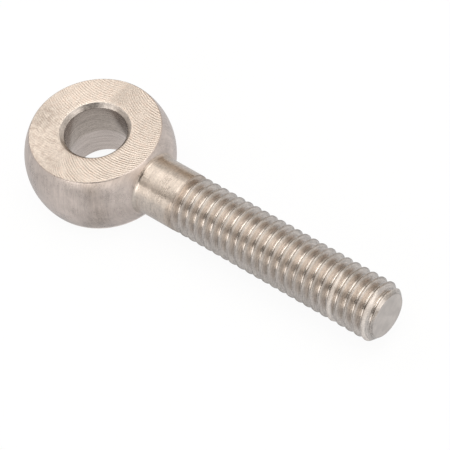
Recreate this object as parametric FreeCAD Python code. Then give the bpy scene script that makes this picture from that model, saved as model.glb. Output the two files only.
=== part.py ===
"""Swing bolt with a ball eye, turned and milled from one bar.

Millimetres. The origin is the middle of the eye, where the bore's axis crosses the shank's axis.
+Z is along the bore and +X runs along the shank to the threaded tip.
"""

import FreeCAD, Part

import math
import os

from FreeCAD import Vector

# The eye: a ball with two milled flats and a bore across the shank
BALL_DIAMETER = 15.0
EYE_THICKNESS = 7.2
BORE_DIAMETER = 6.3
BORE_CHAMFER = 0.4

# The shank: a plain neck out of the ball, then the threaded length up to the tip
NECK_DIAMETER = 6.0
NECK_FILLET = 0.4
THREAD_START = 11.2  # from the bore's axis to the end of the plain neck
REACH = 35.3  # from the bore's axis to the tip's end face
TIP_CHAMFER = 0.7

# The thread: M6 x 1, right-hand, with a V groove as deep as the real one between sharp crests
THREAD_DIAMETER = 5.97
THREAD_PITCH = 1.0
THREAD_DEPTH = THREAD_PITCH * math.sqrt(3) / 2 * 17 / 24  # the metric thread's depth for its pitch
GROOVE_PLACE = 0.27  # from the bore's axis, less whole pitches, to the groove under the shank

OVERLAP = 0.2  # how far a shape runs on inside the one that it joins, or past the one that it trims

CENTRE = Vector(0, 0, 0)
X_AXIS = Vector(1, 0, 0)
Y_AXIS = Vector(0, 1, 0)
Z_AXIS = Vector(0, 0, 1)


def revolved(edges, axis):
    """A solid of revolution about an axis through the origin, from a closed outline of edges."""
    return Part.Face(Part.Wire(edges)).revolve(CENTRE, axis, 360)


def straight_edges(points):
    """The straight edges that join the points in order and close on the first."""
    return [Part.makeLine(a, b) for a, b in zip(points, points[1:] + points[:1])]


def round_edge(centre, start, end):
    """An arc in the XY plane between two points, as a Bezier curve: it turns into far fewer facets than a torus."""
    first, last = start - centre, end - centre
    handle = 4 / 3 * math.tan(first.getAngle(last) / 4)
    way = 1 if first.cross(last).z > 0 else -1
    curve = Part.BezierCurve()
    curve.setPoles(
        [
            start,
            start + Z_AXIS.cross(first) * handle * way,
            end - Z_AXIS.cross(last) * handle * way,
            end,
        ]
    )
    return curve.toShape()


def milled_ball():
    """The ball between its two flats. The flats are parallel and the same distance from the shank's axis."""
    ball = Part.makeSphere(BALL_DIAMETER / 2)
    corner = Vector(-BALL_DIAMETER, -BALL_DIAMETER, -EYE_THICKNESS / 2)
    between_flats = Part.makeBox(2 * BALL_DIAMETER, 2 * BALL_DIAMETER, EYE_THICKNESS, corner)
    return ball.common(between_flats)


def filleted_neck():
    """The plain neck, with the concave ring that blends it into the ball.

    The ring's arc touches the neck's wall and the ball, so its centre is one fillet radius off both.
    A 45 degree cone past the neck's end closes the thread's groove there.
    """
    ball_radius = BALL_DIAMETER / 2
    neck_radius = NECK_DIAMETER / 2
    arc_height = neck_radius + NECK_FILLET
    arc_x = math.sqrt((ball_radius + NECK_FILLET) ** 2 - arc_height**2)
    arc_centre = Vector(arc_x, arc_height, 0)
    on_ball = arc_centre * (ball_radius / (ball_radius + NECK_FILLET))
    on_neck = Vector(arc_x, neck_radius, 0)
    neck_end = Vector(THREAD_START, neck_radius, 0)
    cone_radius = THREAD_DIAMETER / 2 - THREAD_DEPTH - OVERLAP
    cone_end = Vector(THREAD_START + neck_radius - cone_radius, cone_radius, 0)
    foot = Vector(cone_end.x, 0, 0)
    return revolved(
        [
            Part.makeLine(CENTRE, on_ball),
            round_edge(arc_centre, on_ball, on_neck),
            Part.makeLine(on_neck, neck_end),
            Part.makeLine(neck_end, cone_end),
            Part.makeLine(cone_end, foot),
            Part.makeLine(foot, CENTRE),
        ],
        X_AXIS,
    )


def helix(radius, along):
    """One right-hand turn about the shank's axis, from the underside at that distance along the shank."""
    turn = Part.makeHelix(THREAD_PITCH, THREAD_PITCH, radius)
    turn.rotate(CENTRE, Y_AXIS, 90)
    turn.translate(Vector(along, 0, 0))
    return turn.Edges[0]


def endless_thread():
    """The threaded bar before it is trimmed. It runs past both ends of the threaded length.

    Each turn is two flanks, ruled from a crest to the root and on to the next crest. Each end is closed
    by the section of one turn and by a face that winds from the crest to the axis.
    """
    crest = THREAD_DIAMETER / 2
    root = crest - THREAD_DEPTH
    before = math.floor((THREAD_START - GROOVE_PLACE) / THREAD_PITCH) - 1
    first = (before - 0.5) * THREAD_PITCH + GROOVE_PLACE
    turns = math.ceil((REACH - first) / THREAD_PITCH) + 1
    last = first + turns * THREAD_PITCH
    crests = [helix(crest, first + turn * THREAD_PITCH) for turn in range(turns + 1)]
    roots = [helix(root, first + (turn + 0.5) * THREAD_PITCH) for turn in range(turns)]
    faces = []
    for turn, groove in enumerate(roots):
        faces.append(Part.makeRuledSurface(crests[turn], groove))
        faces.append(Part.makeRuledSurface(groove, crests[turn + 1]))
    for along, lead in ((first, crests[0]), (last, crests[-1])):
        section = [
            Vector(along, 0, 0),
            Vector(along, 0, -crest),
            Vector(along + THREAD_PITCH / 2, 0, -root),
            Vector(along + THREAD_PITCH, 0, -crest),
            Vector(along + THREAD_PITCH, 0, 0),
        ]
        faces.append(Part.Face(Part.Wire(straight_edges(section))))
        faces.append(Part.makeRuledSurface(lead, Part.makeLine(section[0], section[-1])))
    skin = Part.makeShell(faces)
    skin.sewShape()
    bar = Part.makeSolid(skin)
    if bar.Volume < 0:
        bar.reverse()
    return bar


def threaded_length():
    """The thread from the neck's end to the tip, with the tip's chamfer."""
    radius = THREAD_DIAMETER / 2
    room = revolved(
        straight_edges(
            [
                Vector(THREAD_START, 0, 0),
                Vector(THREAD_START, radius + OVERLAP, 0),
                Vector(REACH - TIP_CHAMFER - OVERLAP, radius + OVERLAP, 0),
                Vector(REACH, radius - TIP_CHAMFER, 0),
                Vector(REACH, 0, 0),
            ]
        ),
        X_AXIS,
    )
    return endless_thread().common(room)


def chamfered_bore():
    """The space of the bore and its two chamfers. Each chamfer's cone runs on past its flat."""
    radius = BORE_DIAMETER / 2
    half = EYE_THICKNESS / 2
    past = half + BORE_CHAMFER
    cone_foot = half - BORE_CHAMFER
    wide = radius + 2 * BORE_CHAMFER
    return revolved(
        straight_edges(
            [
                Vector(0, 0, -past),
                Vector(wide, 0, -past),
                Vector(radius, 0, -cone_foot),
                Vector(radius, 0, cone_foot),
                Vector(wide, 0, past),
                Vector(0, 0, past),
            ]
        ),
        Z_AXIS,
    )


def eye_bolt():
    blank = milled_ball().fuse([filleted_neck(), threaded_length()])
    return blank.cut(chamfered_bore()).removeSplitter()


os.makedirs("parts", exist_ok=True)
bolt = eye_bolt()
bolt.exportStep("parts/eye_bolt.step")
print("solids", len(bolt.Solids), "valid", bolt.isValid(), "volume", round(bolt.Volume, 1), "mm3")
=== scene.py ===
import math

import bmesh
import bpy
import numpy as np
from mathutils import Matrix, Vector


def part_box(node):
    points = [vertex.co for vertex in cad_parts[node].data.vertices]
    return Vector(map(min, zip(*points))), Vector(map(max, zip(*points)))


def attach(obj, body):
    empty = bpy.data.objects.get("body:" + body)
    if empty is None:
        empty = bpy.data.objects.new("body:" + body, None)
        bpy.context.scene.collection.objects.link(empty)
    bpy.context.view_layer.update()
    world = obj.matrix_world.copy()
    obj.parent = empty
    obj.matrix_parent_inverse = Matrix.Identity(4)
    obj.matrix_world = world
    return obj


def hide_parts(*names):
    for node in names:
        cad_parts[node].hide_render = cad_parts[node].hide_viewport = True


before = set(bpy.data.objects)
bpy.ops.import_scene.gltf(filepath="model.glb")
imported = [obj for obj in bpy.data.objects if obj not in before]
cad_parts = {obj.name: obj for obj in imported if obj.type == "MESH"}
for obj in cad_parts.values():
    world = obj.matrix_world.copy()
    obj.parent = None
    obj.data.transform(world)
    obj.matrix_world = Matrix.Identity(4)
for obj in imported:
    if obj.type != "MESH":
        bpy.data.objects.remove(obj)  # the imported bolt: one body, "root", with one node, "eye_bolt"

bl_info = {
    "name": "Ball-eye swing bolt",
    "version": (1, 0, 0),
    "blender": (4, 5, 0),
    "location": "3D View > Sidebar > Eye bolt",
    "description": "Builds a turned and threaded eye bolt, its steel finishes and a small studio",
    "category": "Object",
}

NODE = "eye_bolt"
MM = 0.001  # the meshes are made in millimetres and scaled to metres at the end
LOWEST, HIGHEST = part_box(NODE)

# The camera stands where the photograph was taken from
AIM = (12.392, 3.121, -5.999)  # millimetres, in the bolt's frame
DISTANCE = 0.28378  # metres
AZIMUTH = 47.292  # degrees, from the -Y side towards +X
ELEVATION = 51.507  # degrees
ROLL = 10.755  # degrees
LENS = 230.5  # millimetres
SENSOR = 36.0  # millimetres
CLIPS = (0.01, 10.0)  # metres

# How finely the meshes are made
EYE_COLUMNS = 216
SHANK_COLUMNS = 120
SHEET_COLUMNS = 96
WALL_ROWS = 9  # along half of the bore's wall
FLAT_ROWS = 9
BALL_ROWS = 25  # from the ball's middle to the rim of a flat
FILLET_ROWS = 9
NECK_ROWS = 16
SHARP_ANGLE = 24.0  # degrees between two faces, above which their edge isn't shaded smooth

# Small forms, in millimetres
DULLED_EDGE = 0.02  # how far the edges of the bore's chamfers are broken
FOOT = ((5.0, 0.9), (6.4, 0.95))  # inside the ball: places along the shank, and shares of the neck's radius
FOOT_INSET = (0.15, 0.03)  # from the fillet's edge to the foot: along the shank, and towards its axis
FILLET_PROUD = 0.004  # how far the fillet's edge stands out of the ball, so that the two solids cross
END_RINGS = (0.96, 0.7, 0.4, 0.15)  # rings of points on the end face, as shares of its radius

# The thread. Places along it are in pitches from the bore's axis, and are those on the +Y side. From there
# each helix moves on by one pitch in a turn from +Y towards +Z
GROOVE_PLACE = 0.51  # the middle of a groove, less whole pitches
ROW_PLACES = (0.065, 0.125, 0.21, 0.29, 0.37, 0.43, 0.4475)  # rows of points on both sides of that middle
SNAP = 0.012  # a row that ends closer than this to an end ring joins it, in pitches
GROOVE_START = 0.1  # where the first groove starts, in millimetres past the neck's end
GROOVE_START_SLOPE = 2.0

# Two crests near the tip were left wide, with a bevel on the tip's side
BEVEL_PLACES = (29.9575, 33.9575)  # where each bevel starts
BEVEL_WIDTH = 0.25  # in pitches
BEVEL_SLOPE = 1.07
BEVEL_FADE = (85.0, 110.0, 205.0, 230.0)  # degrees from +Y: it starts, is full up to the third, and ends
BEVEL_SOFT = (0.08, 0.03)  # in pitches, how softly its tone starts and ends

# The face mill went along Y in two passes. Places across the flats and sizes, in millimetres
MILLING_SEAM = -1.45
MILLING_CENTRES = (-3.1, 3.7)
MILLING_WANDER = 0.22  # how far the marks stray from their circles
FACING_FEED = 0.17  # from one ring on the end face to the next

# How each surface's colour differs from the steel's own where it is clean, and the browner tone that it
# takes in
# # blots on the flats and where the ball and the shank are darker, much of that painted shade
NECK_TONE = (0.925, 0.90, 0.865)
BALL_TONE = (0.885, 0.845, 0.835)
BALL_TONE_WHERE_DARKER = (0.90, 0.84, 0.805)
THREAD_TONE = (0.98, 0.99, 0.995)
SHANK_TONE_WHERE_DARKER = (1.00, 0.93, 0.86)
MILLED_TONE = (1.06, 1.035, 1.0)
STAINED_MILLED_TONE = (1.09, 1.02, 0.97)
FACED_TONE = (1.03, 1.04, 1.05)
BORE_TONE = (0.60, 0.58, 0.57)
LOWER_BORE_TONE = (0.74, 0.72, 0.73)

# Paler and darker bands. Each has its middle, how far from it the band is full, where it ends, all in
# millimetres, and the change
NECK_STEP = (8.5, 0.0, 0.06, 1.0)  # a step that the lathe tool left round the neck, placed by X
NECK_LIGHT_LINE = (-1.87, 0.1, 0.75, 0.24)  # a line of painted light along the neck, placed by Y
LIT_TOP_BAND = (-0.65, 0.3, 1.1, 0.11)  # a band of painted light along the top of the thread, placed by Y
SEAM_RIDGE = (MILLING_SEAM - 0.15, 0.0, 0.45, 0.06)  # between the two passes of the face mill, placed by X

# Ramps, in millimetres: where the change starts, where it is full, and the change
BY_NECK = (3.2, 6.4, 0.16)  # the ball is paler towards the neck, placed by X
UNDER_RIM_HIGHLIGHT = (2.7, 2.95, 0.06)  # a painted highlight under its upper rim, placed by Z
FILLET_SHADE = (7.15, 7.05, -0.12)  # painted shade on the fillet, placed by X
NECK_END = (10.4, 11.2, -0.3)  # the neck is darker before the thread, placed by X
NECK_SIDE = (-1.0, -1.9, 1.0)  # but only on its -Y side, placed by Y
FAR_THREAD_SHADE = (1.9, 2.5, -0.14)  # painted shade on the thread's +Y side, placed by Y
FIRST_GROOVE = (11.9, 11.2, 1.0)  # the thread is darker and browner beside the neck, placed by X
UPPER_DRILLING = (-0.25, -0.1, 1.0)  # above the place where the drillings from both sides meet, placed by Z
RIGHT_OF_BORE = (-0.8, 0.4, 1.0)  # the right part of the flats, as seen from +Z, placed by X
ABOVE_BORE = (-1.2, 1.2, 1.0)  # their upper part, as seen from +Z, placed by Y
PAST_SEAM = (MILLING_SEAM, MILLING_SEAM + 1.3, 1.0)  # the milling marks come back there, placed by X
STRIP_START = (MILLING_SEAM + 0.1, MILLING_SEAM + 0.5, 1.0)  # a darker strip beside the seam, placed by X
STRIP_END = (MILLING_SEAM + 2.4, MILLING_SEAM + 1.0, 1.0)

# Ramps placed by the distance from the shank's axis
ROOT_SHADE = (2.42, 2.56, 0.2)  # painted shade in the thread's root: the thread is paler above it
THREAD_CREST = (2.88, 2.96, 1.0)
SMOOTH_ROOT = (2.42, 2.6, 0.24)  # here the last number is the root's roughness
END_FACE_EDGE = (2.15, 2.3, -0.15)  # the end face is darker at its edge

# Patches where the steel is made paler or darker. Each has its middle, how far from it the patch is full,
# where it ends, all in millimetres, and the change
# On the ball these are painted light and painted shade, partly also mottling of the steel
BALL_PATCHES = (
    ((1.6, -7.2, 0.2), 1.6, 3.9, 0.15),
    ((4.7, -5.6, 1.3), 0.6, 2.3, -0.15),
    ((3.6, -6.4, -1.4), 0.8, 2.8, -0.13),
    ((5.4, -5.0, -0.9), 0.5, 2.2, -0.10),
    ((6.1, -4.0, 1.9), 0.4, 1.9, 0.10),
    ((3.9, -5.4, 3.4), 0.4, 1.5, -0.17),
    ((2.2, -7.0, -1.6), 0.3, 1.6, 0.08),
    ((6.6, 2.4, 2.6), 0.5, 1.8, -0.12),
    ((7.2, 0.9, 1.9), 0.3, 1.3, 0.10),
    ((1.7, -6.6, 3.3), 0.5, 1.3, 0.07),
    ((2.6, -6.6, 2.3), 0.1, 0.9, -0.09),
)
# A patch of painted light on the neck
NECK_PATCHES = (((7.3, -2.8, 0.8), 0.7, 2.2, 0.14),)
FILLET_PATCHES = (((6.95, -1.2, 2.85), 0.2, 0.9, 1.6),)  # painted shade: the change makes the fillet's darkening stronger
FLAT_PATCHES = (
    ((-3.6, 3.0, 3.6), 1.0, 3.0, 0.06),
    ((-5.7, -1.4, 3.6), 0.6, 2.4, -0.15),
    ((0.2, 4.6, 3.6), 0.8, 3.2, -0.07),
    ((4.4, 3.2, 3.6), 0.8, 2.6, -0.05),
    ((-1.0, -5.6, 3.6), 0.5, 2.0, -0.07),
    ((3.8, -4.7, 3.6), 0.4, 1.6, 0.05),
)
# Painted shade in the bore
BORE_PATCHES = (
    ((1.4, 2.8, 1.9), 1.0, 2.4, -0.36),
    ((-1.2, 2.9, 0.6), 0.5, 2.0, -0.05),
)
# Painted light and painted shade on the bore's chamfers
CHAMFER_PATCHES = (
    ((-0.35, 3.33, 3.4), 0.15, 0.75, 0.38),
    ((-2.25, 2.5, 3.4), 0.2, 0.8, -0.18),
    ((1.9, 2.7, 3.4), 0.6, 1.5, -0.16),
    ((-3.1, 1.3, 3.4), 0.1, 0.6, 0.10),
    ((-3.3, -0.3, 3.4), 0.4, 1.2, -0.16),
)
END_PATCHES = (((35.3, 1.0, 0.73), 0.2, 1.1, -0.12),)

# The studio, as seen from a middle place on the bolt. Angles are in degrees: round from +X towards +Y, up,
# and how wide and how high a thing looks from there
MIDDLE = (14.0, 0.0, 0.0)  # millimetres
LAMP_DISTANCE = 0.6  # metres
LAMPS = (  # each one's name, colour, level and angles
    ("overhead_lamp", (0.98, 1.0, 1.0), 2.31, 357.0, 88.0, 72.0, 25.0),
    ("back_lamp", (1.0, 0.96, 0.92), 1.62, 173.0, 50.0, 45.0, 16.0),
    ("left_lamp", (1.0, 1.0, 1.0), 1.72, 274.0, 20.5, 44.0, 35.0),
    ("right_lamp", (1.0, 1.0, 1.0), 0.67, 9.0, 31.0, 33.0, 60.0),
    ("front_lamp", (1.0, 0.98, 0.94), 0.40, 318.0, 6.0, 52.0, 12.0),
)
CARD_DISTANCE = 0.5  # metres
CARD_TINT = (1.15, 0.97, 0.80)  # times each card's shade of grey
DARK_CARDS = (  # each one's name, shade of grey and angles
    ("camera_card", 0.05, 310.0, 52.0, 50.0, 41.0),
    ("back_card", 0.40, 117.0, 14.5, 42.0, 29.0),
    ("left_card", 0.10, 243.0, 36.0, 26.0, 12.0),
)
FLOOR_HALF = 3.0  # metres
FLOOR_PLAIN = 0.93  # the share of what is seen of the floor that is plain white
WHITE = (1.0, 1.0, 1.0)
# The grey sheet: painted shade that the steel mirrors in place of the shaded floor round the bolt
SHEET_GREY = (0.735, 0.75, 0.775)
SHEET_PLAIN = 0.55
SHEET_RADII = (6.7, 110.0)  # millimetres from the bore's axis
SHEET_LIFT = 0.02  # millimetres above the floor
MATT_ROUGHNESS = 0.9


def length(name, description, default, most=0.2):
    """A length in metres, for the panel."""
    return bpy.props.FloatProperty(
        name=name, description=description, default=default, min=0.0, max=most,
        precision=5, unit="LENGTH", subtype="DISTANCE",
    )


def share(name, description, default):
    """A number from nought to one, for the panel."""
    return bpy.props.FloatProperty(
        name=name, description=description, default=default, min=0.0, max=1.0, subtype="FACTOR",
    )


def colour(name, description, default):
    """A linear colour, for the panel."""
    return bpy.props.FloatVectorProperty(
        name=name, description=description, default=default, size=3, min=0.0, max=1.0, subtype="COLOR",
    )


class EyeSizes(bpy.types.PropertyGroup):
    ball: length("Ball diameter", "Across the turned ball", round(2 * HIGHEST.y, 6))
    thickness: length("Thickness", "Between the two milled flats", round(2 * HIGHEST.z, 6))
    bore: length("Bore diameter", "Across the plain bore", 0.0063)
    chamfer: length("Bore chamfer", "Width of the chamfer at each end of the bore", 0.0004)
    rim: length("Rim break", "Width of the broken edge round each flat", 0.00006)


class ShankSizes(bpy.types.PropertyGroup):
    neck: length("Neck diameter", "Across the plain neck", 0.006)
    fillet: length("Neck fillet", "Radius of the ring that blends the neck into the ball", 0.0004)
    start: length("Thread start", "From the bore's axis to the end of the plain neck", 0.0112)
    thread: length("Thread diameter", "Across the thread's crests", 0.00597)
    pitch: length("Pitch", "From one crest to the next", 0.001)
    reach: length("Reach", "From the bore's axis to the end face", round(HIGHEST.x, 6))
    tip: length("Tip chamfer", "Width of the chamfer at the tip", 0.0007)


class SteelFinish(bpy.types.PropertyGroup):
    steel: colour("Steel", "Colour of the bare stainless steel", (0.63, 0.57, 0.52))
    turned: share("Turned roughness", "Roughness of the ball and the neck", 0.30)
    milled: share("Milled roughness", "Roughness of the two flats", 0.36)
    bored: share("Bored roughness", "Roughness inside the bore", 0.26)
    chamfered: share("Chamfer roughness", "Roughness of the bore's chamfers", 0.36)
    threaded: share("Thread roughness", "Roughness of the thread's flanks", 0.28)
    feed: length("Milling feed", "From one mark of the face mill to the next", 0.00026)
    cutter: length("Cutter radius", "Radius of the face mill's marks", 0.0058)


class StudioSettings(bpy.types.PropertyGroup):
    floor: colour("Floor", "Colour of the floor", (0.97, 0.97, 0.97))
    world: colour("Room", "Colour of the room's even light", (0.77, 0.735, 0.70))


def wrapped_quads(rows, columns, shift=0):
    """Corner numbers of the quads between rows, which close on themselves after the last column.

    A shift makes the rows a helix: the last column joins the first one that many rows on.
    """
    row, column = np.mgrid[0 : rows - 1, 0:columns]
    step = np.where(column == columns - 1, shift, 0)
    after = (column + 1) % columns
    near = row * columns + column
    far = near + columns
    near_after = (row + step) * columns + after
    far_after = (row + step + 1) * columns + after
    whole = row + step + 1 < rows
    return np.stack([near, far, far_after, near_after], -1)[whole]


def between_rings(near, far, columns):
    """Quads between two rings of points, from the numbers of their first points."""
    pairs = [(c, (c + 1) % columns) for c in range(columns)]
    return [(near + c, far + c, far + after, near + after) for c, after in pairs]


def lathe(profile, columns, axis):
    """Points and quads of a profile of (along, radius) pairs turned about an axis."""
    angle = np.arange(columns) * (math.tau / columns)
    along, radius = (np.asarray(v, float)[:, None] for v in zip(*profile))
    level = along + 0 * angle
    if axis == "X":
        points = np.stack([level, radius * np.cos(angle), radius * np.sin(angle)], -1)
    else:
        points = np.stack([radius * np.cos(angle), radius * np.sin(angle), level], -1)
    return points.reshape(-1, 3), wrapped_quads(len(profile), columns)


def eye_profile(s):
    """Closed outline of the eye about the bore's axis, as (height, radius) pairs in millimetres."""
    ball, half = s.ball / 2 / MM, s.thickness / 2 / MM
    bore, chamfer, rim = s.bore / 2 / MM, s.chamfer / MM, s.rim / MM
    rim_radius = math.sqrt(ball**2 - half**2)
    edge = DULLED_EDGE
    # The points of a broken edge stand in or out by shares of its width
    wall_end = half - chamfer - edge
    wall = [(z, bore) for z in np.append(np.linspace(0, wall_end - edge, WALL_ROWS), wall_end)]
    mouth = [
        (half - chamfer + edge * 0.1, bore + edge * 0.4),
        (half - edge, bore + chamfer - edge),
        (half - edge * 0.3, bore + chamfer + edge * 0.2),
    ]
    flat = [(half, r) for r in np.linspace(bore + chamfer + edge, rim_radius - rim, FLAT_ROWS)]
    broken = [(half - rim * 0.35, rim_radius - rim * 0.25)]
    heights = (half - rim * 1.1) * np.sin(np.linspace(1, 0, BALL_ROWS) * math.pi / 2)
    turned = [(z, math.sqrt(ball**2 - z**2)) for z in heights]
    top = wall + mouth + flat + broken + turned
    bottom = [(-z, r) for z, r in reversed(top)]
    return top + bottom[1:-1]


def eye_mesh(s, columns=EYE_COLUMNS):
    """The eye by itself: the ball between its flats, with the chamfered bore through it."""
    profile = eye_profile(s)
    points, quads = lathe(profile, columns, "Z")
    last = (len(profile) - 1) * columns
    return points, [tuple(q) for q in quads] + between_rings(last, 0, columns)


def groove_depth(u, pitch):
    """Depth of the 60 degree metric thread, with its rounded root, at u from a groove's middle."""
    height = pitch * math.sqrt(3) / 2
    root = height / 6
    middle = height * 17 / 24 - root
    u = np.abs((u / pitch + 0.5) % 1 - 0.5) * pitch
    arc = middle + np.sqrt(np.maximum(root**2 - u**2, 0))
    flank = (pitch * 7 / 16 - u) * math.sqrt(3)
    return np.where(u < pitch / 8, arc, np.maximum(flank, 0))


def thread_lattice(s, columns, first, last):
    """Points of the threaded length and its quads. Rows follow the helix and stop at both end rings."""
    pitch, radius, tip = s.pitch / MM, s.thread / 2 / MM, s.tip / MM
    rows = np.array([-0.5, *(-place for place in reversed(ROW_PLACES)), 0.0, *ROW_PLACES])
    turns = np.arange(math.floor(first / pitch) - 2, math.ceil(last / pitch) + 2)
    starts = (turns[:, None] + rows + GROOVE_PLACE).ravel() * pitch
    turned = np.arange(columns) / columns
    along = starts[:, None] + turned * pitch
    snap = SNAP * pitch
    along = np.where(along < first + snap, first, np.where(along > last - snap, last, along))
    depth = groove_depth(along - (GROOVE_PLACE + turned) * pitch, pitch)
    shown = np.interp(turned * 360, BEVEL_FADE, (0.0, 1.0, 1.0, 0.0))
    for place in BEVEL_PLACES:
        past = along - (place + turned) * pitch
        bevel = np.where((past > 0) & (past < BEVEL_WIDTH * pitch), past * BEVEL_SLOPE, 0) * shown
        depth = np.maximum(depth, bevel)
    depth = np.minimum(depth, np.maximum(along - first - GROOVE_START, 0) * GROOVE_START_SLOPE)
    radii = np.minimum(radius - depth, radius - np.maximum(along - (last - tip), 0))
    angle = turned * math.tau
    points = np.stack([along, radii * np.cos(angle), radii * np.sin(angle)], -1)
    quads = wrapped_quads(len(starts), columns, len(rows))
    return points, quads, along <= first, along >= last


def neck_profile(s, ball):
    """Outline of the foot, the fillet and the neck about the shank's axis, as (along, radius) pairs."""
    neck, fillet = s.neck / 2 / MM, s.fillet / MM
    arc_height = neck + fillet
    arc_x = math.sqrt((ball + fillet) ** 2 - arc_height**2)
    to_ball = (ball + FILLET_PROUD) / (ball + fillet)
    on_ball = (arc_x * to_ball, arc_height * to_ball)
    foot = [(x, part * neck) for x, part in FOOT] + [tuple(b - i for b, i in zip(on_ball, FOOT_INSET))]
    sweep = np.linspace(math.atan2(-arc_height, -arc_x), -math.pi / 2, FILLET_ROWS)[1:]
    ring = [(arc_x + fillet * math.cos(a), arc_height + fillet * math.sin(a)) for a in sweep]
    plain = [(x, neck) for x in np.linspace(arc_x, s.start / MM, NECK_ROWS)[1:]]
    return foot + [on_ball] + ring + plain


def shank_mesh(s, ball, columns=SHANK_COLUMNS):
    """The neck with its fillet, the thread and the tip. Its foot ends inside the ball."""
    first, last = s.start / MM, s.reach / MM
    neck_points, neck_quads = lathe(neck_profile(s, ball), columns, "X")
    lattice, quads, at_neck, at_tip = thread_lattice(s, columns, first, last)
    neck_ring = len(neck_points) - columns
    tip_ring = len(neck_points)
    between = ~(at_neck | at_tip)
    column = np.broadcast_to(np.arange(columns), at_neck.shape)
    number = np.zeros(at_neck.shape, int)
    number[at_neck] = neck_ring + column[at_neck]
    number[at_tip] = tip_ring + column[at_tip]
    number[between] = tip_ring + columns + np.arange(between.sum())
    faces = [tuple(q) for q in neck_quads]
    for quad in number.ravel()[quads]:
        corners = [v for i, v in enumerate(quad) if v != quad[i - 1]]
        if len(set(corners)) > 2:
            faces.append(tuple(corners))
    tip_radius = float(np.hypot(*lattice[-1, 0, 1:]))
    end_points, end_quads = lathe([(last, tip_radius * part) for part in END_RINGS], columns, "X")
    centres = [[last, 0, 0], [FOOT[0][0], 0, 0]]
    points = np.vstack([neck_points, lattice[-1], lattice[between], end_points, centres])
    end_middle, foot_middle = len(points) - 2, len(points) - 1
    end_ring = end_middle - len(end_points)
    inmost = end_middle - columns
    faces += [tuple(int(v) + end_ring for v in q) for q in end_quads]
    faces += between_rings(tip_ring, end_ring, columns)
    for c in range(columns):
        after = (c + 1) % columns
        faces.append((inmost + c, end_middle, inmost + after))
        faces.append((foot_middle, c, after))
    return points, faces


def object_from(name, points, faces):
    """A new object in the scene, with a mesh of these points and faces."""
    mesh = bpy.data.meshes.new(name)
    mesh.from_pydata([tuple(p) for p in points], [], [tuple(int(v) for v in f) for f in faces])
    mesh.validate()
    made = bpy.data.objects.new(name, mesh)
    bpy.context.scene.collection.objects.link(made)
    return made


def turn_outwards(mesh):
    """Makes the faces' normals agree and point out of the solid."""
    work = bmesh.new()
    work.from_mesh(mesh)
    bmesh.ops.recalc_face_normals(work, faces=work.faces)
    if work.calc_volume(signed=True) < 0:
        bmesh.ops.reverse_faces(work, faces=work.faces)
    work.to_mesh(mesh)
    work.free()


def joined(base, other):
    """Base and other as one solid. The other object is used up."""
    union = base.modifiers.new("union", "BOOLEAN")
    union.operation = "UNION"
    union.solver = "EXACT"
    union.object = other
    bpy.context.view_layer.update()
    shape = base.evaluated_get(bpy.context.evaluated_depsgraph_get())
    mesh = bpy.data.meshes.new_from_object(shape)
    base.modifiers.clear()
    base.data = mesh
    spent = other.data
    bpy.data.objects.remove(other)
    bpy.data.meshes.remove(spent)
    return base


def add_node(tree, kind, inputs=(), **settings):
    """A new node with its settings. An input's value is a number, a tuple or the socket that feeds it."""
    made = tree.nodes.new(kind)
    for name, value in settings.items():
        setattr(made, name, value)
    for key, value in dict(inputs).items():
        if isinstance(value, bpy.types.NodeSocket):
            tree.links.new(value, made.inputs[key])
        else:
            made.inputs[key].default_value = value
    return made


def math_node(tree, operation, *values, clamp=False):
    """The result of one math node."""
    made = add_node(tree, "ShaderNodeMath", dict(enumerate(values)), operation=operation, use_clamp=clamp)
    return made.outputs[0]


def vector_node(tree, operation, inputs):
    """The result of one vector math node: a vector, or the distance as a number."""
    made = add_node(tree, "ShaderNodeVectorMath", inputs, operation=operation)
    return made.outputs["Value" if operation == "DISTANCE" else "Vector"]


def product(tree, *values):
    """The values multiplied together."""
    result = values[0]
    for value in values[1:]:
        result = math_node(tree, "MULTIPLY", result, value)
    return result


def total(tree, *values):
    """The values added together."""
    result = values[0]
    for value in values[1:]:
        result = math_node(tree, "ADD", result, value)
    return result


def weighted(tree, *pairs):
    """The first of each pair times the second, all added together."""
    return total(tree, *(product(tree, *pair) for pair in pairs))


def opposite(tree, value):
    """One less the value."""
    return math_node(tree, "SUBTRACT", 1.0, value)


def split(tree, vector):
    """The vector's X, Y and Z."""
    return tuple(add_node(tree, "ShaderNodeSeparateXYZ", {0: vector}).outputs)


def from_axis(tree, y, z):
    """The distance from the shank's axis."""
    return math_node(tree, "SQRT", weighted(tree, (y, y), (z, z)))


def mapped(tree, value, low, high, to_low=0.0, to_high=1.0, smooth=False):
    """The value carried from one range to another, and held at its ends."""
    inputs = {"Value": value, "From Min": low, "From Max": high, "To Min": to_low, "To Max": to_high}
    way = "SMOOTHSTEP" if smooth else "LINEAR"
    return add_node(tree, "ShaderNodeMapRange", inputs, interpolation_type=way).outputs[0]


def swayed(tree, noise, below, above=None, reach=0.2):
    """The noise carried to a change from minus below to plus above. One number alone is both.

    Noise stays near a half, so the change is full where the noise is the reach away from there.
    """
    return mapped(tree, noise, 0.5 - reach, 0.5 + reach, -below, below if above is None else above)


def ramped(tree, value, ramp, smooth=True):
    """The ramp's change at a value."""
    start, full, change = ramp
    return mapped(tree, value, start, full, 0.0, change, smooth=smooth)


def banded(tree, value, band):
    """The band's change at a value."""
    middle, full, end, change = band
    away = math_node(tree, "ABSOLUTE", math_node(tree, "SUBTRACT", value, middle))
    return ramped(tree, away, (end, full, change))


def patched(tree, place, patches):
    """The patches' changes at a place, added together."""
    changes = []
    for middle, full, end, change in patches:
        away = vector_node(tree, "DISTANCE", {0: place, 1: middle})
        changes.append(ramped(tree, away, (end, full, change)))
    return total(tree, *changes)


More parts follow.
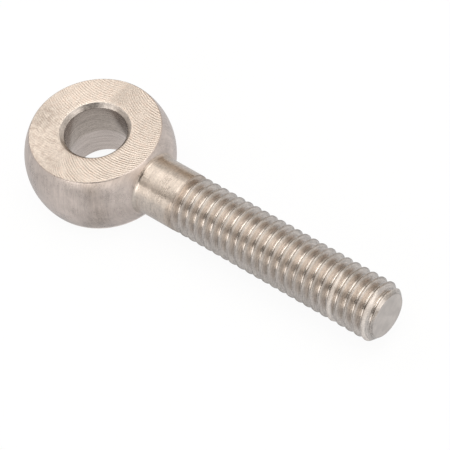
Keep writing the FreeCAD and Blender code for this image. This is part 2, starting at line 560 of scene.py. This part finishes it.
def scaled_noise(tree, place, scale, detail, roughness):
    """Noise from nought to one over the place, stretched by a scale for each axis."""
    vector = vector_node(tree, "MULTIPLY", {0: place, 1: scale})
    inputs = {"Vector": vector, "Scale": 1.0, "Detail": detail, "Roughness": roughness}
    return add_node(tree, "ShaderNodeTexNoise", inputs).outputs["Fac"]


def pits(tree, place, spacing, size, share_of_cells):
    """One in the middle of a few small pits, and nought elsewhere. Spacing and size are in millimetres."""
    inputs = {"Vector": place, "Scale": 1 / spacing, "Randomness": 1.0}
    cells = add_node(tree, "ShaderNodeTexVoronoi", inputs)
    near = mapped(tree, cells.outputs["Distance"], size / spacing, size * 0.4 / spacing)
    chance = add_node(tree, "ShaderNodeSeparateColor", {0: cells.outputs["Color"]}).outputs[0]
    return product(tree, near, math_node(tree, "LESS_THAN", chance, share_of_cells))


def plain_steel(name, roughness, anisotropic, tangent=None):
    """A bare steel material, with its tree, its shader and the place on the bolt in millimetres."""
    material = bpy.data.materials.new(name)
    material.use_nodes = True
    tree = material.node_tree
    shader = tree.nodes["Principled BSDF"]
    shader.inputs["Metallic"].default_value = 1.0
    shader.inputs["Roughness"].default_value = roughness
    shader.inputs["Anisotropic"].default_value = anisotropic
    place = add_node(tree, "ShaderNodeTexCoord").outputs["Object"]
    place = vector_node(tree, "SCALE", {0: place, "Scale": 1 / MM})
    if tangent is not None:
        way = add_node(tree, "ShaderNodeCombineXYZ", dict(enumerate(tangent))).outputs[0]
        tree.links.new(way, shader.inputs["Tangent"])
    return material, tree, shader, place


def toned(steel, *tones):
    """The steel's colour in each tone."""
    return [tuple(s * t for s, t in zip(steel, tone)) for tone in tones]


def tinted(tree, shader, level, tint, second_tint=None, second_share=0.0):
    """Sets the shader's colour: the level times the tint, or the second tint where the second share is one.
    """
    colour_a, colour_b, mixed = 6, 7, 2  # the mix node's sockets for colours
    inputs = {"Factor": second_share, colour_a: (*tint, 1.0), colour_b: (*(second_tint or tint), 1.0)}
    tints = add_node(tree, "ShaderNodeMix", inputs, data_type="RGBA").outputs[mixed]
    tree.links.new(vector_node(tree, "SCALE", {0: tints, "Scale": level}), shader.inputs["Base Color"])


def relief(tree, shader, height, depth):
    """Bumps on the surface: their height, and how deep a height of one is, in millimetres."""
    bump = add_node(tree, "ShaderNodeBump", {"Height": height, "Distance": depth * MM, "Strength": 1.0})
    tree.links.new(bump.outputs[0], shader.inputs["Normal"])


def roughened(tree, shader, *parts):
    """Sets the shader's roughness to the sum of the parts."""
    tree.links.new(total(tree, *parts), shader.inputs["Roughness"])


def lathe_finish(name, tints, roughness, clouds, grains, ringed, pitted, depth, shading):
    """A turned surface about the shank's axis: fine rings, grain, soft clouds and a few pits.

    The clouds, grains and rings are changes of level, the pits a share of their places, and the depth that
    of the relief. The shading adds to the level, much of it painted light and painted shade, and turns the
    colour to the second tint where it darkens.
    """
    material, tree, shader, place = plain_steel(name, roughness, anisotropic=0.6, tangent=(1, 0, 0))
    rings = scaled_noise(tree, place, (7.0, 0.6, 0.6), detail=4.0, roughness=0.65)
    grain = scaled_noise(tree, place, (6.0, 4.5, 4.5), detail=3.0, roughness=0.65)
    cloud = scaled_noise(tree, place, (0.55, 0.55, 0.55), detail=4.0, roughness=0.6)
    marks = pits(tree, place, spacing=1.1, size=0.05, share_of_cells=pitted)
    step = banded(tree, split(tree, place)[0], NECK_STEP)
    height = weighted(tree, (rings, 0.55), (grain, 6 * grains), (marks, -1.0), (step, -0.7))
    relief(tree, shader, height, depth)
    finish = total(tree, swayed(tree, cloud, clouds), swayed(tree, rings, ringed, reach=0.15),
                   swayed(tree, grain, grains), 1.0)
    finish = product(tree, finish, mapped(tree, marks, 0.0, 1.0, 1.0, 0.55))
    change = shading(tree, place)
    tinted(tree, shader, total(tree, finish, change), *tints, mapped(tree, change, 0.0, -0.15))
    roughened(tree, shader, swayed(tree, cloud, 0.05), swayed(tree, grain, 0.03), roughness)
    return material


def neck_shading(tree, place):
    """The fillet is darker, in painted shade. The neck has a line and a patch of painted light, and is
    darker by the thread.
    """
    x, y, _ = split(tree, place)
    # The fillet's painted shade
    fillet_shade = product(tree, ramped(tree, x, FILLET_SHADE, smooth=False),
                   total(tree, patched(tree, place, FILLET_PATCHES), 1.0))
    by_thread = product(tree, ramped(tree, x, NECK_END), ramped(tree, y, NECK_SIDE))
    return total(tree, banded(tree, y, NECK_LIGHT_LINE), fillet_shade, by_thread, patched(tree, place, NECK_PATCHES))


def turned_steel(s):
    """The neck."""
    return lathe_finish(
        "turned_steel", toned(s.steel, NECK_TONE, SHANK_TONE_WHERE_DARKER), s.turned,
        clouds=0.07, grains=0.16, ringed=0.13, pitted=0.03, depth=0.014, shading=neck_shading,
    )


def ball_shading(tree, place):
    """The ball is paler towards the neck and has a painted highlight under its upper rim. Its patches are
    painted light and painted shade, partly also mottling.
    """
    x, _, z = split(tree, place)
    return total(tree, ramped(tree, x, BY_NECK), ramped(tree, z, UNDER_RIM_HIGHLIGHT),
                 patched(tree, place, BALL_PATCHES))


def ball_steel(s):
    """The ball, which is cloudier than the neck, with a finer relief."""
    return lathe_finish(
        "ball_steel", toned(s.steel, BALL_TONE, BALL_TONE_WHERE_DARKER), s.turned,
        clouds=0.17, grains=0.07, ringed=0.11, pitted=0.01, depth=0.009, shading=ball_shading,
    )


def milling_marks(tree, place, x, y, cutter, feed):
    """The face mill's marks as waves from minus one to one, and streaks along them from nought to one.

    The cutter went along Y, so each mark is the leading edge of a circle about the middle of its pass. Past
    the circle's ends it runs straight on.
    """
    pass_middle = mapped(tree, math_node(tree, "GREATER_THAN", x, MILLING_SEAM), 0.0, 1.0, *MILLING_CENTRES)
    across = math_node(tree, "SUBTRACT", x, pass_middle)
    ahead = math_node(tree, "SUBTRACT", cutter**2, product(tree, across, across))
    ahead = math_node(tree, "SQRT", math_node(tree, "MAXIMUM", ahead, 0.5))
    wander = scaled_noise(tree, place, (1.3, 1.3, 0.0), detail=2.0, roughness=0.5)
    turns = math_node(tree, "DIVIDE", total(tree, y, ahead, product(tree, wander, MILLING_WANDER)), feed)
    waves = math_node(tree, "SINE", product(tree, turns, math.tau))
    along_marks = add_node(tree, "ShaderNodeCombineXYZ", {0: turns, 1: across}).outputs[0]
    return waves, scaled_noise(tree, along_marks, (1.1, 0.9, 0.0), detail=3.0, roughness=0.6)


def marks_left(tree, x, right, upper):
    """How much of the milling marks is left: most below and to the right of the bore, least by the seam."""
    lower = opposite(tree, upper)
    left = total(tree, product(tree, right, lower, 0.7), product(tree, upper, 0.2),
                 product(tree, right, upper, 0.15), 0.3)
    second_pass = math_node(tree, "GREATER_THAN", x, MILLING_SEAM)
    beside_seam = product(tree, second_pass, opposite(tree, ramped(tree, x, PAST_SEAM)))
    return product(tree, left, mapped(tree, beside_seam, 0.0, 1.0, 1.0, 0.2))


def milled_steel(s):
    """The flats: arcs left by the face mill in two passes, one beside the other.

    The passes meet at a seam, which shows above the bore as a pale ridge with a darker strip beside it.
    Below and to the left of the bore the marks are worn, with blots.
    """
    material, tree, shader, place = plain_steel("milled_steel", s.milled, anisotropic=0.0)
    x, y, _ = split(tree, place)
    right = ramped(tree, x, RIGHT_OF_BORE)
    upper = ramped(tree, y, ABOVE_BORE)
    waves, streaks = milling_marks(tree, place, x, y, s.cutter / MM, s.feed / MM)
    patchy = scaled_noise(tree, place, (0.9, 0.9, 0.0), detail=3.0, roughness=0.7)
    grain = scaled_noise(tree, place, (9.0, 9.0, 0.0), detail=3.0, roughness=0.65)
    cloud = scaled_noise(tree, place, (0.7, 0.7, 0.0), detail=4.0, roughness=0.6)
    blots = scaled_noise(tree, place, (2.2, 2.2, 0.0), detail=3.0, roughness=0.6)
    depth = marks_left(tree, x, right, upper)
    marks = product(tree, waves, mapped(tree, patchy, 0.35, 0.6, 0.2, 1.0), depth)
    relief(tree, shader, weighted(tree, (marks, 0.6), (streaks, depth), (grain, 1.2)), 0.024)
    ridge = product(tree, banded(tree, x, SEAM_RIDGE), upper)
    strip = product(tree, ramped(tree, x, STRIP_START), ramped(tree, x, STRIP_END), upper, -0.08)
    worn = opposite(tree, math_node(tree, "MAXIMUM", right, upper))
    level = total(tree, swayed(tree, cloud, 0.05), product(tree, marks, 0.12), ridge, strip,
                  product(tree, worn, swayed(tree, blots, 0.22, 0.15)), patched(tree, place, FLAT_PATCHES),
                  swayed(tree, grain, 0.15), product(tree, depth, swayed(tree, streaks, 0.08)), 1.0)
    tints = toned(s.steel, MILLED_TONE, STAINED_MILLED_TONE)
    tinted(tree, shader, level, *tints, mapped(tree, blots, 0.52, 0.36))
    roughened(tree, shader, swayed(tree, cloud, 0.04), s.milled)
    return material


def ringed_steel(name, upper_tint, lower_tint, roughness, anisotropic, depth, patches):
    """A cut about the bore's axis, with rings from the drill. The depth is that of its relief.

    The bore was drilled from both sides. Below the place where the drillings meet, the rings are fainter.
    """
    material, tree, shader, place = plain_steel(name, roughness, anisotropic, tangent=(0, 0, 1))
    rings = scaled_noise(tree, place, (0.35, 0.35, 5.0), detail=3.0, roughness=0.6)
    grain = scaled_noise(tree, place, (4.0, 4.0, 9.0), detail=3.0, roughness=0.6)
    above = ramped(tree, split(tree, place)[2], UPPER_DRILLING, smooth=False)
    strength = mapped(tree, above, 0.0, 1.0, 0.4, 1.0)
    relief(tree, shader, product(tree, weighted(tree, (rings, 0.7), (grain, 0.3)), strength), depth)
    speckled = product(tree, swayed(tree, grain, 0.16, reach=0.15), strength)
    level = total(tree, swayed(tree, rings, 0.18), speckled, patched(tree, place, patches), 0.98)
    tinted(tree, shader, level, lower_tint, upper_tint, above)
    roughened(tree, shader, swayed(tree, grain, 0.04), roughness)
    return material


def bored_steel(s):
    """The bore's wall."""
    tints = toned(s.steel, BORE_TONE, LOWER_BORE_TONE)
    return ringed_steel(
        "bored_steel", *tints, s.bored, anisotropic=0.2, depth=0.012, patches=BORE_PATCHES,
    )


def chamfered_steel(s):
    """The chamfer at each end of the bore."""
    tint = tuple(s.steel)
    return ringed_steel(
        "chamfered_steel", tint, tint, s.chamfered, anisotropic=0.3, depth=0.006, patches=CHAMFER_PATCHES,
    )


def bevel_mask(tree, x, y, z):
    """One on the bevels of the wide crests, and nought elsewhere. The thread's pitch is taken as 1 mm."""
    # The angle is measured from the middle of the bevels' stretch, so that it doesn't jump within them
    middle = math.radians(sum(BEVEL_FADE) / 4)
    reach = math.radians(BEVEL_FADE[3] - BEVEL_FADE[0]) / 2
    fade = math.radians(BEVEL_FADE[1] - BEVEL_FADE[0])
    ahead = weighted(tree, (y, math.cos(middle)), (z, math.sin(middle)))
    aside = weighted(tree, (y, -math.sin(middle)), (z, math.cos(middle)))
    angle = math_node(tree, "ARCTAN2", aside, ahead)
    middle_turn = middle / math.tau
    turns = mapped(tree, angle, -math.pi, math.pi, middle_turn - 0.5, middle_turn + 0.5)
    place = math_node(tree, "SUBTRACT", x, turns)
    soft_start, soft_end = BEVEL_SOFT
    masks = []
    for start in BEVEL_PLACES:
        past = math_node(tree, "SUBTRACT", place, start)
        masks.append(product(tree, mapped(tree, past, -soft_start, 0.0),
                             mapped(tree, past, BEVEL_WIDTH + soft_end, BEVEL_WIDTH - soft_end)))
    away = math_node(tree, "ABSOLUTE", angle)
    return product(tree, total(tree, *masks), mapped(tree, away, reach, reach - fade))


def threaded_steel(s):
    """The thread: grain, fine scratches along the helix, a smooth root in painted shade, and rougher,
    darker crests.

    It is paler on the bevels of the wide crests and in a band of painted light along its top, darker in
    painted shade on its +Y side, and darker and browner beside the neck.
    """
    material, tree, shader, place = plain_steel("threaded_steel", s.threaded, 0.3, tangent=(1, 0, 0))
    x, y, z = split(tree, place)
    radius = from_axis(tree, y, z)
    scratches = scaled_noise(tree, place, (14.0, 0.8, 0.8), detail=4.0, roughness=0.65)
    grain = scaled_noise(tree, place, (8.0, 8.0, 8.0), detail=3.0, roughness=0.7)
    blots = scaled_noise(tree, place, (1.1, 1.6, 1.6), detail=3.0, roughness=0.6)
    relief(tree, shader, weighted(tree, (scratches, 0.9), (grain, 0.6)), 0.017)
    crest = ramped(tree, radius, THREAD_CREST, smooth=False)
    bevel = bevel_mask(tree, x, y, z)
    by_neck = ramped(tree, x, FIRST_GROOVE, smooth=False)
    level = total(
        tree, ramped(tree, radius, ROOT_SHADE, smooth=False), swayed(tree, grain, 0.20, 0.22),
        swayed(tree, blots, 0.08, 0.06), swayed(tree, scratches, 0.16, reach=0.15),
        weighted(tree, (crest, -0.22), (by_neck, -0.1), (bevel, 0.3)),
        banded(tree, y, LIT_TOP_BAND), ramped(tree, y, FAR_THREAD_SHADE, smooth=False), 0.80,
    )
    tinted(tree, shader, level, *toned(s.steel, THREAD_TONE, SHANK_TONE_WHERE_DARKER), by_neck)
    roughened(tree, shader, mapped(tree, radius, *SMOOTH_ROOT, s.threaded),
              weighted(tree, (crest, 0.14), (bevel, 0.12)))
    return material


def faced_steel(s):
    """The end face: faint rings from facing, a few smudges and a darker edge."""
    material, tree, shader, place = plain_steel("faced_steel", s.turned, anisotropic=0.2)
    _, y, z = split(tree, place)
    radius = from_axis(tree, y, z)
    rings = math_node(tree, "SINE", product(tree, radius, math.tau / FACING_FEED))
    grain = scaled_noise(tree, place, (0.0, 6.0, 6.0), detail=4.0, roughness=0.65)
    smudges = scaled_noise(tree, place, (0.0, 0.9, 0.9), detail=2.0, roughness=0.5)
    relief(tree, shader, weighted(tree, (rings, 0.15), (grain, 1.0)), 0.003)
    level = total(tree, swayed(tree, smudges, 0.12, 0.05, reach=0.15), swayed(tree, grain, 0.03), 1.0)
    edge = ramped(tree, radius, END_FACE_EDGE, smooth=False)
    level = product(tree, level, total(tree, edge, 1.0))
    tinted(tree, shader, total(tree, level, patched(tree, place, END_PATCHES)), *toned(s.steel, FACED_TONE))
    outwards = add_node(tree, "ShaderNodeCombineXYZ", {1: y, 2: z}).outputs[0]
    tree.links.new(outwards, shader.inputs["Tangent"])
    return material


def dress(mesh, eye, shank, finish):
    """Gives each face the finish of the cut that made it."""
    makers = (
        turned_steel, milled_steel, bored_steel, threaded_steel, faced_steel, chamfered_steel, ball_steel,
    )
    number = {make: place for place, make in enumerate(makers)}
    for make in makers:
        mesh.materials.append(make(finish))
    count = len(mesh.polygons)
    centre = np.zeros(count * 3)
    normal = np.zeros(count * 3)
    mesh.polygons.foreach_get("center", centre)
    mesh.polygons.foreach_get("normal", normal)
    centre = centre.reshape(-1, 3) / MM
    normal = normal.reshape(-1, 3)
    near = 0.001  # millimetres
    upright = 0.99  # the least that a flat's normal leans along Z
    along, height = centre[:, 0], np.abs(centre[:, 2])
    half = eye.thickness / 2 / MM
    bore_mouth = (eye.bore / 2 + eye.chamfer) / MM + 1.5 * DULLED_EDGE
    kind = np.full(count, number[turned_steel])
    kind[np.linalg.norm(centre, axis=1) < eye.ball / 2 / MM + 2 * near] = number[ball_steel]
    on_flat = (height > half - near) & (np.abs(normal[:, 2]) > upright)
    kind[on_flat] = number[milled_steel]
    in_bore = (np.hypot(along, centre[:, 1]) < bore_mouth) & ~on_flat
    kind[in_bore] = number[bored_steel]
    kind[in_bore & (height > half - eye.chamfer / MM)] = number[chamfered_steel]
    kind[along > shank.start / MM + near] = number[threaded_steel]
    kind[along > shank.reach / MM - near] = number[faced_steel]
    mesh.polygons.foreach_set("material_index", kind)


class BOLT_OT_eye_bolt(bpy.types.Operator):
    """Build the eye bolt: the ball eye, the neck and the threaded shank, in one piece"""

    bl_idname = "bolt.eye_bolt"
    bl_label = "Build the eye bolt"

    def execute(self, context):
        eye, shank, finish = context.scene.bolt_eye, context.scene.bolt_shank, context.scene.bolt_finish
        ball = object_from("turned_eye_bolt", *eye_mesh(eye))
        rod = object_from("rod", *shank_mesh(shank, eye.ball / 2 / MM))
        turn_outwards(ball.data)
        turn_outwards(rod.data)
        bolt = joined(ball, rod)
        mesh = bolt.data
        mesh.transform(Matrix.Scale(MM, 4))
        mesh.materials.clear()
        dress(mesh, eye, shank, finish)
        mesh.shade_smooth()
        mesh.set_sharp_from_angle(angle=math.radians(SHARP_ANGLE))
        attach(bolt, "root")
        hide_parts(NODE)
        return {"FINISHED"}


def towards(around, up):
    """The way from the bolt to a place in the studio: degrees round from +X towards +Y, and up."""
    a, e = math.radians(around), math.radians(up)
    return Vector((math.cos(a) * math.cos(e), math.sin(a) * math.cos(e), math.sin(e)))


def facing_bolt(made, around, up, distance):
    """Puts a lamp or a card that far from the bolt's middle, facing it. The camera doesn't see it."""
    way = towards(around, up)
    made.location = Vector(MIDDLE) * MM + way * distance
    made.rotation_euler = way.to_track_quat("Z", "Y").to_euler()
    made.visible_camera = False


def spread(angle, distance):
    """How wide a thing is that takes up an angle in degrees at a distance."""
    return 2 * distance * math.tan(math.radians(angle / 2))


def soft_lamp(name, tint, level, around, up, wide, high):
    """A soft area lamp. A level of 1 looks as bright as a white floor in full light."""
    light = bpy.data.lights.new(name, "AREA")
    light.shape = "RECTANGLE"
    light.size, light.size_y = spread(wide, LAMP_DISTANCE), spread(high, LAMP_DISTANCE)
    light.color = tint
    light.energy = level * math.pi * light.size * light.size_y
    lamp = bpy.data.objects.new(name, light)
    bpy.context.scene.collection.objects.link(lamp)
    facing_bolt(lamp, around, up, LAMP_DISTANCE)


def flat_square(name, half_wide, half_high, height):
    """An object with one flat face about the Z axis."""
    signs = ((-1, -1), (1, -1), (1, 1), (-1, 1))
    return object_from(name, [(x * half_wide, y * half_high, height) for x, y in signs], [(0, 1, 2, 3)])


def dark_card(name, grey, around, up, wide, high):
    """A dark card beside the bolt, for the steel to mirror."""
    card = flat_square(name, spread(wide, CARD_DISTANCE) / 2, spread(high, CARD_DISTANCE) / 2, 0.0)
    card.data.materials.append(matt(name, tuple(grey * c for c in CARD_TINT)))
    facing_bolt(card, around, up, CARD_DISTANCE)


def floor_shade_sheet():
    """A grey sheet on the floor round the bolt, for the steel alone to mirror: painted shade that stands in
    for the shaded floor near the bolt, with part of its grey glowing evenly. The eye is in its hole.
    """
    height = LOWEST.z / MM + SHEET_LIFT
    points, quads = lathe([(height, radius) for radius in SHEET_RADII], SHEET_COLUMNS, "Z")
    sheet = object_from("floor_shade_sheet", points * MM, quads)
    sheet.data.materials.append(half_lit("floor_shade_sheet", SHEET_GREY, SHEET_GREY, SHEET_PLAIN))
    sheet.visible_camera = False
    sheet.visible_diffuse = False
    sheet.visible_shadow = False


def matt(name, tint):
    """A plain matt material."""
    material = bpy.data.materials.new(name)
    material.use_nodes = True
    shader = material.node_tree.nodes["Principled BSDF"]
    shader.inputs["Base Color"].default_value = (*tint, 1.0)
    shader.inputs["Roughness"].default_value = MATT_ROUGHNESS
    shader.inputs["Specular IOR Level"].default_value = 0.0
    return material


def half_lit(name, tint, plain, share_plain):
    """A matt material. Of what the camera or the steel sees of it, a share is plain, and has no shadow."""
    material = matt(name, tint)
    tree = material.node_tree
    rays = add_node(tree, "ShaderNodeLightPath").outputs
    seen = total(tree, *(rays[f"Is {kind} Ray"] for kind in ("Camera", "Glossy", "Transmission")))
    seen = math_node(tree, "MULTIPLY", seen, share_plain, clamp=True)
    even = add_node(tree, "ShaderNodeEmission", {"Color": (*plain, 1.0), "Strength": 1.0})
    lit = tree.nodes["Principled BSDF"].outputs[0]
    mixed = add_node(tree, "ShaderNodeMixShader", {0: seen, 1: lit, 2: even.outputs[0]})
    tree.links.new(mixed.outputs[0], tree.nodes["Material Output"].inputs[0])
    return material


def place_camera():
    """The camera of the photograph."""
    camera = bpy.data.objects.new("camera", bpy.data.cameras.new("camera"))
    camera.data.lens = LENS
    camera.data.sensor_width = SENSOR
    camera.data.clip_start, camera.data.clip_end = CLIPS
    back = towards(AZIMUTH - 90, ELEVATION)
    roll = Matrix.Rotation(math.radians(-ROLL), 3, "Z").to_quaternion()
    camera.rotation_mode = "QUATERNION"
    camera.rotation_quaternion = back.to_track_quat("Z", "Y") @ roll
    camera.location = Vector(AIM) * MM + back * DISTANCE
    bpy.context.scene.collection.objects.link(camera)
    bpy.context.scene.camera = camera


class BOLT_OT_stage(bpy.types.Operator):
    """Set the stage: a pale floor, soft lamps, what the steel mirrors, and the camera of the photograph"""

    bl_idname = "bolt.stage"
    bl_label = "Set the stage"

    def execute(self, context):
        s = context.scene.bolt_studio
        floor = flat_square("floor", FLOOR_HALF, FLOOR_HALF, LOWEST.z)
        floor.data.materials.append(half_lit("floor", s.floor, WHITE, FLOOR_PLAIN))
        world = bpy.data.worlds.new("room")
        world.use_nodes = True
        back = world.node_tree.nodes["Background"]
        back.inputs["Color"].default_value = (*s.world, 1.0)
        back.inputs["Strength"].default_value = 1.0
        context.scene.world = world
        for lamp in LAMPS:
            soft_lamp(*lamp)
        for card in DARK_CARDS:
            dark_card(*card)
        floor_shade_sheet()
        place_camera()
        context.scene.view_settings.view_transform = "Standard"
        return {"FINISHED"}


class BOLT_PT_panel(bpy.types.Panel):
    """The eye bolt's sizes, finishes and stage"""

    bl_idname = "BOLT_PT_panel"
    bl_label = "Eye bolt"
    bl_space_type = "VIEW_3D"
    bl_region_type = "UI"
    bl_category = "Eye bolt"

    def draw(self, context):
        scene = context.scene
        for operator, group in STEPS:
            box = self.layout.box()
            for settings in group:
                owner = getattr(scene, settings)
                for name in owner.bl_rna.properties.keys():
                    if name not in ("rna_type", "name"):
                        box.prop(owner, name)
            box.operator(operator)


STEPS = (
    ("bolt.eye_bolt", ("bolt_eye", "bolt_shank", "bolt_finish")),
    ("bolt.stage", ("bolt_studio",)),
)
CLASSES = (
    EyeSizes, ShankSizes, SteelFinish, StudioSettings, BOLT_OT_eye_bolt, BOLT_OT_stage, BOLT_PT_panel,
)


def register():
    for made in CLASSES:
        bpy.utils.register_class(made)
    bpy.types.Scene.bolt_eye = bpy.props.PointerProperty(type=EyeSizes)
    bpy.types.Scene.bolt_shank = bpy.props.PointerProperty(type=ShankSizes)
    bpy.types.Scene.bolt_finish = bpy.props.PointerProperty(type=SteelFinish)
    bpy.types.Scene.bolt_studio = bpy.props.PointerProperty(type=StudioSettings)


def unregister():
    del bpy.types.Scene.bolt_studio
    del bpy.types.Scene.bolt_finish
    del bpy.types.Scene.bolt_shank
    del bpy.types.Scene.bolt_eye
    for made in reversed(CLASSES):
        bpy.utils.unregister_class(made)


def main():
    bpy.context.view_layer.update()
    register()
    bpy.ops.bolt.eye_bolt()
    bpy.ops.bolt.stage()
    bpy.context.view_layer.update()


if __name__ == "__main__":
    main()
